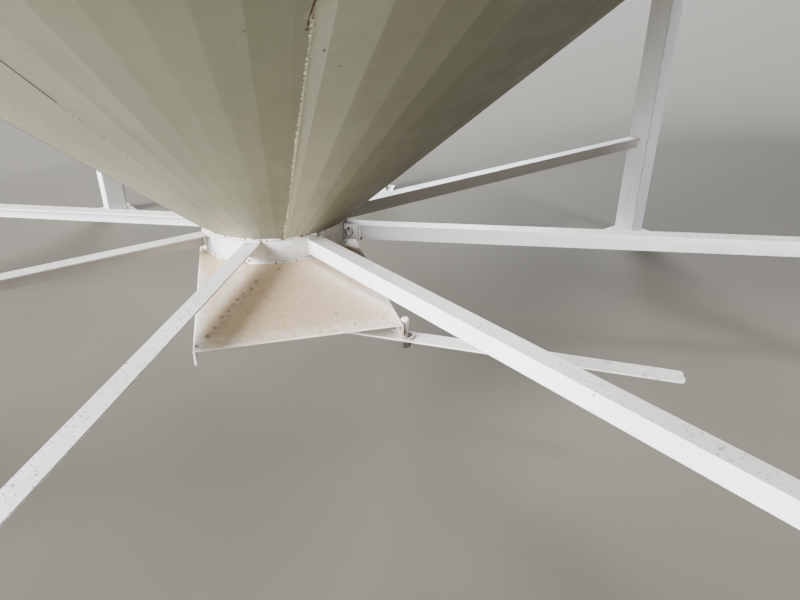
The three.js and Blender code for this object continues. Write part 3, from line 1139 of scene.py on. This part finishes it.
@dataclass
class Cone:
    """The hopper's cone: bent sheets that lap at their seams and are welded there."""

    welder: Welder
    sheets: int = 11
    slope: float = math.radians(40)
    thickness: float = 0.004
    rows: int = 25
    lap_width: float = 0.002
    lap_rise: float = 0.0012
    bend_reach: float = 0.003
    bend_segments: int = 2
    top_radius: float = 2.1208
    foot_radius: float = 0.2504
    foot_height: float = 0.5553
    buckle: float = 0.004
    least_rise: float = 0.3
    lap_dirt: Bead = Bead(0.0052, 0.012, 0.04, 0.005)
    rough_bead: Bead = Bead(0.0063, 0.006, 0.12, 0.002)
    heavy_bead: Bead = Bead(0.0095, 0.0060, 0.15, 0.0013, 24)
    smooth_bead: Bead = Bead(0.0060, 0.03, 0.04, 0.005)
    bead_depth: float = 0.0050
    heavy_depth: float = 0.0080
    front_seam: int = 1
    rough_stretch: Span = (0.2504, 0.85)
    heavy_stretch: Span = (0.2504, 1.035)
    smooth_stretch: Span = (1.035, 1.7)
    crack_bead: Bead = Bead(0.0022, 0.012, 0.6, 0.0025)
    crack_points: tuple[Span, ...] = (
        (1.016, -0.0070), (1.024, -0.0065), (1.036, -0.0075), (1.042, -0.0060), (1.055, -0.0030),
        (1.070, 0.0000), (1.100, 0.0020), (1.150, -0.0020), (1.200, 0.0010), (1.270, -0.0015), (1.350, 0.0),
    )
    starts: list[float] = field(default_factory=list)

    def build(self) -> None:
        """Makes the sheets and their seam welds."""
        tree = SheetTree()
        for number in range(1, self.sheets + 1):
            self.add_sheet(tree, number)
        self.add_seam_welds()

    def foot_corners(self, node: str) -> list[Vector]:
        """The corners along one sheet's foot, in order from its first seam to its last.

        Args:
            node: The sheet's CAD node.

        Returns:
            The corners, with the first tucked behind the sheet before and the last proud of the next.
        """
        solid = merged_copy(node)
        low = min(vert.co.z for vert in solid.verts)
        corners = [vert.co.copy() for vert in solid.verts if vert.co.z < low + SAME_POINT]
        solid.free()
        middle = sum((corner.xy for corner in corners), Vector((0, 0)))
        corners.sort(key=lambda corner: math.atan2(middle.cross(corner.xy), middle.dot(corner.xy)))
        self.starts.append(math.degrees(math.atan2(corners[0].y, corners[0].x)))
        for i, corner in enumerate(corners):
            proud = self.lap_rise * i / (len(corners) - 1)
            outwards = Vector((corner.x, corner.y, 0)).normalized()
            corner += outwards * (proud * math.sin(self.slope))
            corner.z -= proud * math.cos(self.slope)
            if i == 0:
                corner += Vector((outwards.y, -outwards.x, 0)) * self.lap_width
        return corners

    def add_sheet(self, tree: SheetTree, number: int) -> None:
        """Makes one sheet where its CAD node is.

        Args:
            tree: The sheet's tree.
            number: The sheet's number.
        """
        node = f"cone_sheet_{number}"
        corners = self.foot_corners(node)
        run = self.top_radius - self.foot_radius
        sheet = tree.run(f"bent_sheet_{number}", line_mesh(node, [corners]), {
            "Corners": len(corners), "Last Corner": float(len(corners) - 1), "Rows": self.rows,
            "Run": run, "Rise": run * math.tan(self.slope), "Buckle": self.buckle,
            "Material": CONE_ENAMEL.material(),
        })
        seat(self.round_bends(sheet), Body.BASE, Slot.CONE, node)

    def round_bends(self, sheet: bpy.types.Object) -> bpy.types.Object:
        """Rounds the bend lines of an open sheet, then gives it its thickness.

        Args:
            sheet: The open sheet, which is replaced.

        Returns:
            The closed sheet.
        """
        surface = bmesh.new()
        surface.from_mesh(sheet.data)
        bends = [edge for edge in surface.edges if len(edge.link_faces) == 2 and self.runs_up(edge)]
        rounded = bmesh.ops.bevel(
            surface, geom=bends, offset=self.bend_reach, offset_type="OFFSET", segments=self.bend_segments,
            profile=0.5, affect="EDGES",
        )
        for face in surface.faces:
            face.smooth = False
            face.material_index = 0
        for face in rounded["faces"]:
            face.smooth = True
        sheet.data.materials.clear()
        surface.to_mesh(sheet.data)
        surface.free()
        sheet.data.materials.append(CONE_ENAMEL.material())
        wall = sheet.modifiers.new("thickness", "SOLIDIFY")
        wall.thickness = self.thickness
        wall.offset = -1.0
        return applied(sheet)

    def runs_up(self, edge: bmesh.types.BMEdge) -> bool:
        """True for an edge that runs up the slope and not around it."""
        run = edge.verts[1].co - edge.verts[0].co
        return abs(run.z) > self.least_rise * run.length

    def on_seam(self, azimuth: float, radius: float, aside: float = 0.0, depth: float = 0.0) -> Vector:
        """A point on a seam's outer corner.

        Args:
            azimuth: The seam's azimuth, in degrees.
            radius: The point's distance from the axis.
            aside: A shift along the tangent.
            depth: How far it lies inside the sheet.

        Returns:
            The point.
        """
        height = self.foot_height + (radius - self.foot_radius) * math.tan(self.slope)
        inside = radius - depth * math.sin(self.slope)
        return polar(inside, azimuth, height + depth * math.cos(self.slope), aside)

    def add_seam_welds(self) -> None:
        """Leaves dirt in the plain laps, and runs heavy beads with a rusty crack up the front seam."""
        front = self.starts[self.front_seam]
        before = self.starts[self.front_seam - 1]
        plain = [azimuth for azimuth in self.starts if azimuth != front]
        whole = (self.foot_radius, self.top_radius)
        usual = self.bead_depth
        beads = [
            ("cone_lap_dirt", plain, whole, self.lap_dirt, SEAM_GAP, usual),
            ("side_seam_weld", [before], self.rough_stretch, self.rough_bead, CONE_WELD, usual),
            ("front_seam_weld", [front], self.heavy_stretch, self.heavy_bead, CONE_WELD, self.heavy_depth),
            ("front_seam_top_weld", [front], self.smooth_stretch, self.smooth_bead, SCORCHED_WELD, usual),
        ]
        for name, seams, stretch, bead, finish, depth in beads:
            lines = [[self.on_seam(azimuth, radius, depth=depth) for radius in stretch] for azimuth in seams]
            self.welder.lay(name, lines, bead, finish, Slot.CONE)
        crack = [self.on_seam(front, radius, aside) for radius, aside in self.crack_points]
        self.welder.lay("front_seam_crack", [crack], self.crack_bead, OPEN_RUST, Slot.CONE)


@dataclass
class RimRing:
    """The rolled angle ring that the bin stands on."""

    edge_radius: float = 0.003
    quarters: tuple[str, ...] = ("back_right", "back_left", "front_left", "front_right")

    def build(self) -> None:
        """Dresses the four quarters."""
        for quarter in self.quarters:
            rules = [EdgeRule(self.edge_radius, is_corner)]
            dress(f"rim_ring_{quarter}", f"rolled_rim_{quarter}", FRAME_ENAMEL, rules)


@dataclass
class Frame:
    """Legs on their foot plates, and the radial struts that hold the collar."""

    welder: Welder
    count: int = 8
    leg_width: float = 0.118
    leg_depth: float = 0.102
    tube_radius: float = 0.009
    foot_top: float = 0.012
    plate_edge: float = 0.0015
    strut_corner: float = 0.002
    strut_root: float = 0.005
    long_edge: float = 1.0
    joint_bead: Bead = Bead(0.0042, 0.011, 0.4, 0.0025)
    foot_bead: Bead = Bead(0.005, 0.014, 0.3, 0.004)
    corner_bead: Bead = Bead(0.0015, 0.02, 0.4, 0.01)
    corner_gap: float = 0.01
    blob: Bead = Bead(0.0075, 0.008, 0.6, 0.003)
    blob_points: tuple[Point, ...] = ((-0.122, -0.224, 0.482), (-0.108, -0.228, 0.482))

    def build(self) -> None:
        """Makes the legs, the struts and their welds."""
        for number in range(1, self.count + 1):
            self.add_leg(number)
            self.add_strut(number)
        self.add_welds()

    def add_leg(self, number: int) -> None:
        """Dresses one leg: rolled corners on the post, sheared edges on the foot plate.

        Args:
            number: The leg's number.
        """
        rules = [
            EdgeRule(self.tube_radius, lambda edge: is_upright(edge) and self.is_long(edge), segments=5),
            EdgeRule(self.plate_edge, lambda edge: is_corner(edge) and self.is_low(edge)),
        ]
        dress(f"leg_{number}", f"box_leg_{number}", FRAME_ENAMEL, rules)

    def add_strut(self, number: int) -> None:
        """Dresses one strut as a hot-rolled angle.

        Args:
            number: The strut's number.
        """
        rules = [
            EdgeRule(self.strut_root, lambda edge: is_root(edge) and self.is_long(edge), segments=4),
            EdgeRule(self.strut_corner, is_corner),
        ]
        dress(f"strut_{number}", f"angle_strut_{number}", LIT_AND_SHADED_STRUT_ENAMELS.get(number, FRAME_ENAMEL), rules)

    def is_low(self, edge: bmesh.types.BMEdge) -> bool:
        """True for an edge of a foot plate."""
        return edge.verts[0].co.z < 2 * self.foot_top

    def is_long(self, edge: bmesh.types.BMEdge) -> bool:
        """True for an edge that runs along a whole post or strut."""
        return edge.calc_length() > self.long_edge

    def outwards(self, node: str) -> Vector:
        """The level direction from the axis to a node's middle.

        Args:
            node: The CAD node's name.

        Returns:
            A direction of length 1.
        """
        low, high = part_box(node)
        middle = (low + high) / 2
        middle.z = 0
        return middle.normalized()

    def post_corner(self, number: int, side: int, depth: int, height: float, inset: float = 0.0) -> Vector:
        """A point on a corner of a leg's post.

        Args:
            number: The leg's number.
            side: -1 or 1, for the post's clockwise or counterclockwise side.
            depth: -1 or 1, for its inner or outer side.
            height: The point's height over the ground.
            inset: How far it lies inside both sides.

        Returns:
            The point.
        """
        low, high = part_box(f"leg_{number}")
        middle = (low + high) / 2
        out = self.outwards(f"leg_{number}")
        across = Vector((-out.y, out.x, 0))
        reach = out * (depth * (self.leg_depth / 2 - inset)) + across * (side * (self.leg_width / 2 - inset))
        return Vector((middle.x, middle.y, height)) + reach

    def add_welds(self) -> None:
        """Welds the struts' ends and the legs' feet, and closes each post along one inner corner."""
        numbers = range(1, self.count + 1)
        nodes = [f"strut_{number}" for number in numbers]
        inner = [end_outline(node, -self.outwards(node)) for node in nodes]
        outer = [end_outline(node, self.outwards(node)) for node in nodes]
        around = [(-1, -1), (1, -1), (1, 1), (-1, 1)]
        foot_height = self.foot_top + WELD_ROOT
        feet = [[self.post_corner(number, b, a, foot_height) for a, b in around] for number in numbers]
        inset = self.tube_radius * (1 - math.sqrt(0.5))
        corners = []
        for number in numbers:
            heights = (foot_height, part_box(f"leg_{number}")[1].z - self.corner_gap)
            corners.append([self.post_corner(number, -1, -1, height, inset) for height in heights])
        blob = [[Vector(point) for point in self.blob_points]]
        self.welder.lay("strut_collar_welds", inner, self.joint_bead, FRAME_WELD, closed=True)
        self.welder.lay("strut_leg_welds", outer, self.joint_bead, FRAME_WELD, closed=True)
        self.welder.lay("leg_foot_welds", feet, self.foot_bead, FRAME_WELD, closed=True)
        self.welder.lay("leg_corner_welds", corners, self.corner_bead, SEAM_GAP)
        self.welder.lay("strut_plate_weld", blob, self.blob, FRAME_WELD)


@dataclass
class Collar:
    """The outlet collar, a rolled ring of flat bar, with the drilled lug beside it."""

    welder: Welder
    wall: float = 0.005
    edge_radius: float = 0.001
    steps: int = 192
    ring_bead: Bead = Bead(0.0045, 0.008, 0.6, 0.0022)
    radius: float = 0.25

    def build(self) -> None:
        """Makes the ring, its two weld beads and the lug."""
        low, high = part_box("outlet_collar")
        self.radius = (high.x - low.x) / 2
        ring = shaded("rolled_collar", self.ring(low.z, high.z), COLLAR_ENAMEL)
        seat(ring, Body.BASE, Slot.FRAME, "outlet_collar")
        lines = [self.circle(low.z), self.circle(high.z)]
        self.welder.lay("collar_ring_welds", lines, self.ring_bead, FRAME_WELD, closed=True)
        dress("collar_lug", "drilled_lug", COLLAR_ENAMEL, [EdgeRule(self.edge_radius, is_corner)])

    def circle(self, height: float) -> list[Vector]:
        """A ring of points just outside the collar."""
        return [polar(self.radius + WELD_ROOT / 2, 360 * i / self.steps, height) for i in range(self.steps)]

    def ring(self, foot: float, top: float) -> bmesh.types.BMesh:
        """The rolled ring as a closed bmesh.

        Args:
            foot: Height of its lower edge.
            top: Height of its upper edge.

        Returns:
            The ring, with chamfered edges.
        """
        outer = self.radius
        inner = outer - self.wall
        cut = self.edge_radius
        section = [
            (inner + cut, foot), (outer - cut, foot), (outer, foot + cut), (outer, top - cut),
            (outer - cut, top), (inner + cut, top), (inner, top - cut), (inner, foot + cut),
        ]
        solid = bmesh.new()
        rings = [
            [solid.verts.new(polar(radius, 360 * i / self.steps, height)) for radius, height in section]
            for i in range(self.steps)
        ]
        for i, here in enumerate(rings):
            ahead = rings[(i + 1) % self.steps]
            for j in range(len(section)):
                k = (j + 1) % len(section)
                solid.faces.new((here[j], here[k], ahead[k], ahead[j]))
        bmesh.ops.recalc_face_normals(solid, faces=solid.faces)
        return solid


@dataclass
class Gate:
    """The gate housing with its rails, and the slide plate with its slotted bracket."""

    sheet_edge: float = 0.001
    fold_radius: float = 0.006

    def build(self) -> None:
        """Makes the fixed pieces, then the sliding ones."""
        plain = EdgeRule(self.sheet_edge, is_corner)
        fold = EdgeRule(self.fold_radius, self.is_fold, segments=4)
        dress("gate_housing", "folded_housing", GATE_ENAMEL, [fold, plain], slot=Slot.GATE)
        for side in ("left", "right"):
            dress(f"slide_rail_{side}", f"gate_rail_{side}", GATE_ENAMEL, [plain], slot=Slot.GATE)
        for node in ("slide_plate", "slot_bracket"):
            dress(node, f"gate_{node}", GATE_ENAMEL, [plain], Body.GATE, Slot.GATE)

    def is_fold(self, edge: bmesh.types.BMEdge) -> bool:
        """True for the housing's long top edges, where the plate is bent down.

        Args:
            edge: An edge of the housing.

        Returns:
            Whether it is one of them.
        """
        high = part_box("gate_housing")[1]
        ends = [vert.co for vert in edge.verts]
        at_top = all(abs(point.z - high.z) < SAME_POINT for point in ends)
        at_side = all(abs(abs(point.x) - high.x) < SAME_POINT for point in ends)
        at_back = all(abs(point.y - high.y) < SAME_POINT for point in ends)
        return at_top and (at_side or at_back)


@dataclass
class LeverArm:
    """The flat-bar lever with its stud, its washer and the fixed pin and nut that it turns on."""

    welder: Welder
    bar_edge: float = 0.0015
    pin_chamfer: float = 0.004
    washer_edge: float = 0.0012
    turn_steps: int = 48
    corner_steps: int = 6
    pin_bead: Bead = Bead(0.0035, 0.009, 0.4, 0.002)
    weld_spread: float = 0.32
    weld_proud: float = 0.6
    weld_foot: float = 0.003
    weld_head: float = 0.008

    def build(self) -> None:
        """Makes the moving pieces, then the fixed ones."""
        plain = [EdgeRule(self.washer_edge, is_corner)]
        dress("lever", "flat_bar_lever", LEVER_ENAMEL, [EdgeRule(self.bar_edge, is_corner)], Body.LEVER)
        self.add_round("lever_stud", "turned_stud", BARE_STEEL, Body.LEVER, self.washer_edge)
        dress("pivot_washer", "thick_washer", LEVER_ENAMEL, plain, Body.LEVER)
        self.add_round("pivot_pin", "turned_pin", LEVER_ENAMEL, Body.BASE, self.pin_chamfer)
        # The nut's rusted steel is darkened as painted shade.
        dress("pivot_nut", "hexagon_nut", RUSTED_SHADED_STEEL, plain, slot=Slot.STEEL)
        self.add_pin_weld()

    def add_round(self, node: str, name: str, finish: Finish, body: Body, rounding: float) -> None:
        """Turns a smooth round bar where a faceted one is.

        Args:
            node: The upright CAD bar.
            name: The new piece's name.
            finish: Its finish.
            body: The body that it rides on.
            rounding: The radius of its rounded ends.
        """
        low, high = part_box(node)
        centre = Vector(((low.x + high.x) / 2, (low.y + high.y) / 2, 0))
        core = (high.x - low.x) / 2 - rounding
        turns = [math.radians(90 * i / self.corner_steps) for i in range(self.corner_steps + 1)]
        foot = [(math.sin(turn), low.z + rounding - rounding * math.cos(turn)) for turn in turns]
        head = [(math.cos(turn), high.z - rounding + rounding * math.sin(turn)) for turn in turns]
        solid = bmesh.new()
        rings = []
        for share, height in foot + head:
            places = [
                centre + polar(core + rounding * share, 360 * i / self.turn_steps, height)
                for i in range(self.turn_steps)
            ]
            rings.append([solid.verts.new(place) for place in places])
        for here, above in zip(rings, rings[1:]):
            for i in range(self.turn_steps):
                j = (i + 1) % self.turn_steps
                solid.faces.new((here[i], here[j], above[j], above[i]))
        solid.faces.new(list(reversed(rings[0])))
        solid.faces.new(rings[-1])
        seat(shaded(name, solid, finish), body, Slot.STEEL, node)

    def add_pin_weld(self) -> None:
        """Welds the pin to the housing's flange, on both sides of where they touch."""
        pin_low, pin_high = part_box("pivot_pin")
        housing_low, housing_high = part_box("gate_housing")
        middle = (pin_low.y + pin_high.y) / 2
        spread = (pin_high.y - pin_low.y) * self.weld_spread
        out = housing_high.x + self.pin_bead.radius * self.weld_proud
        heights = (housing_low.z + self.weld_foot, housing_high.z - self.weld_head)
        lines = [[Vector((out, middle + side * spread, height)) for height in heights] for side in (-1, 1)]
        self.welder.lay("pin_flange_weld", lines, self.pin_bead, FRAME_WELD)


@dataclass(frozen=True)
class Panel:
    """A wide soft light far from the object, with its angles in degrees."""

    name: str
    azimuth: float
    elevation: float
    strength: float
    softness: float
    colour: str


@dataclass
class Studio:
    """Floor, soft lights and camera."""

    floor_half: float = 200.0
    floor_colour: str = "#5E594D"
    floor_roughness: float = 0.9
    surround_colour: str = "#EEF1F4"
    surround_strength: float = 0.07
    camera_place: Point = (-0.1054, -2.1156, 1.2511)
    camera_heading: float = 14.73
    camera_pitch: float = 26.45
    lens: float = 27.85
    sensor: float = 36.0
    view_depth: float = 500.0
    panels: tuple[Panel, ...] = (
        Panel("key", 200.0, 20.0, 18.0, 30.0, "#F6F9FF"),
        Panel("low key", 226.0, 7.0, 3.4, 30.0, "#F6F9FF"),
        Panel("right", 292.0, 57.0, 2.4, 10.0, "#E6ECFF"),
        Panel("back", 75.0, 26.0, 6.0, 30.0, "#F6F9FF"),
    )

    def build(self) -> None:
        """Makes everything that isn't part of the object."""
        self.add_floor()
        self.add_world()
        for panel in self.panels:
            self.add_panel(panel)
        self.add_camera()

    def add_floor(self) -> None:
        """A level, even floor that runs to the horizon."""
        half = self.floor_half
        corners = [(-half, -half, 0), (half, -half, 0), (half, half, 0), (-half, half, 0)]
        mesh = bpy.data.meshes.new("studio_floor")
        mesh.from_pydata(corners, [], [(0, 1, 2, 3)])
        material = bpy.data.materials.new("pale studio floor")
        material.use_nodes = True
        shader = material.node_tree.nodes["Principled BSDF"]
        shader.inputs["Base Color"].default_value = linear(self.floor_colour)
        shader.inputs["Roughness"].default_value = self.floor_roughness
        mesh.materials.append(material)
        make_object("studio_floor", mesh)

    def add_world(self) -> None:
        """An even pale surround."""
        world = bpy.data.worlds.new("pale surround")
        world.use_nodes = True
        background = world.node_tree.nodes["Background"]
        background.inputs["Color"].default_value = linear(self.surround_colour)
        background.inputs["Strength"].default_value = self.surround_strength
        bpy.context.scene.world = world

    def add_panel(self, panel: Panel) -> None:
        """Adds one soft light.

        Args:
            panel: Where it stands, and its strength, softness and colour.
        """
        data = bpy.data.lights.new(panel.name, "SUN")
        data.energy = panel.strength
        data.angle = math.radians(panel.softness)
        data.color = linear(panel.colour)[:3]
        rise = math.radians(panel.elevation)
        towards = polar(math.cos(rise), panel.azimuth, math.sin(rise))
        make_object(panel.name, data).rotation_euler = (-towards).to_track_quat("-Z", "Y").to_euler()

    def add_camera(self) -> None:
        """A camera where the photograph was taken, looking down past the cone."""
        data = bpy.data.cameras.new("camera")
        data.lens = self.lens
        data.sensor_width = self.sensor
        data.clip_end = self.view_depth
        camera = make_object("camera", data)
        camera.location = self.camera_place
        tilt = math.radians(90 - self.camera_pitch)
        camera.rotation_euler = (tilt, 0.0, math.radians(-self.camera_heading))
        bpy.context.scene.camera = camera


def main() -> None:
    """Builds the studio, then every sub-assembly in order."""
    logging.basicConfig(level=logging.INFO, format="%(name)s: %(message)s")
    welder = Welder()
    assemblies = [Studio(), Cone(welder), RimRing(), Frame(welder), Collar(welder), Gate(), LeverArm(welder)]
    for assembly in assemblies:
        assembly.build()


if __name__ == "__main__":
    main()
